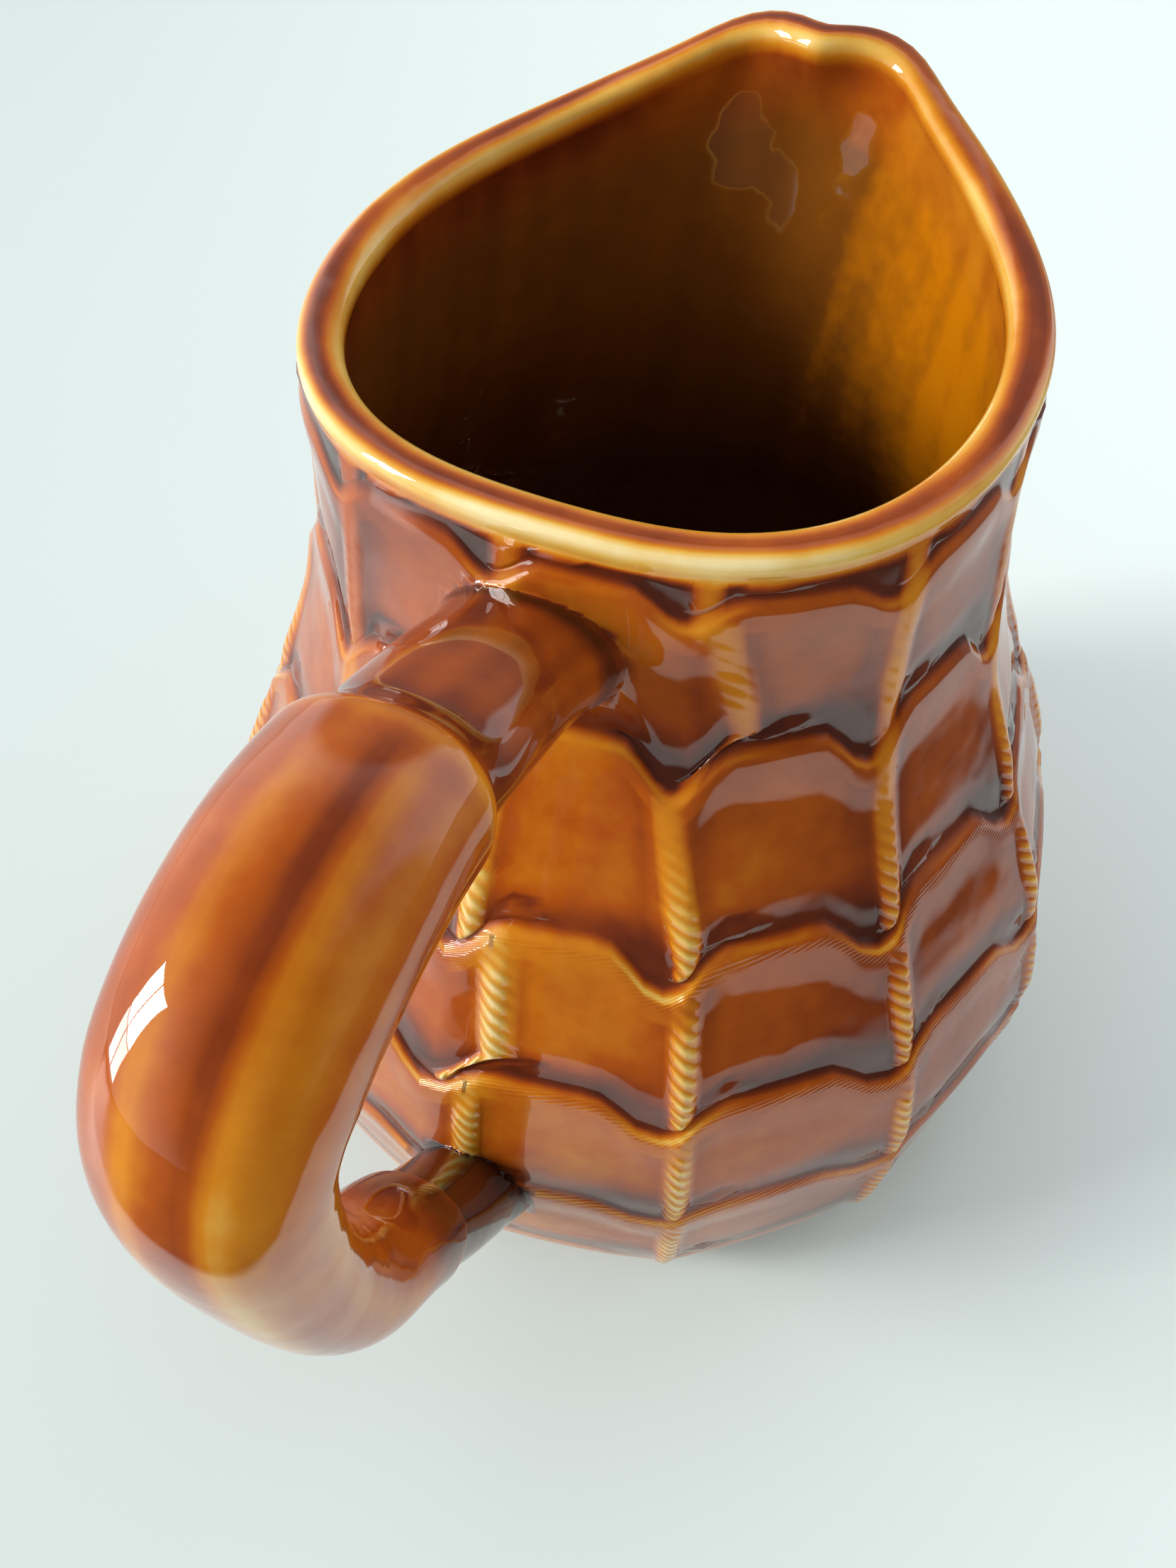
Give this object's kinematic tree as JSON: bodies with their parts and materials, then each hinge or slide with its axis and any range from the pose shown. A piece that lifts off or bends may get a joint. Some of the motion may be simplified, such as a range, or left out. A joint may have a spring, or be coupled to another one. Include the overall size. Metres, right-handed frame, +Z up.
{
  "type": "earthenware pitcher",
  "caption": "Glazed earthenware pitcher with a pear-shaped body moulded as a rope net over overlapping courses, a teardrop mouth with a blunt spout, and a looped strap handle.",
  "frame": {"origin": "centre of the foot, on the surface the pitcher stands on", "axes": "+Z up, +X towards the spout, the handle on the -X side"},
  "size_m": [0.2092, 0.1604, 0.1764],
  "materials": {
    "glaze": "glossy treacle-brown glaze, amber where thin and nearly black where it pools"
  },
  "bodies": {
    "root": {"pitcher": "glaze"}
  },
  "joints": []
}
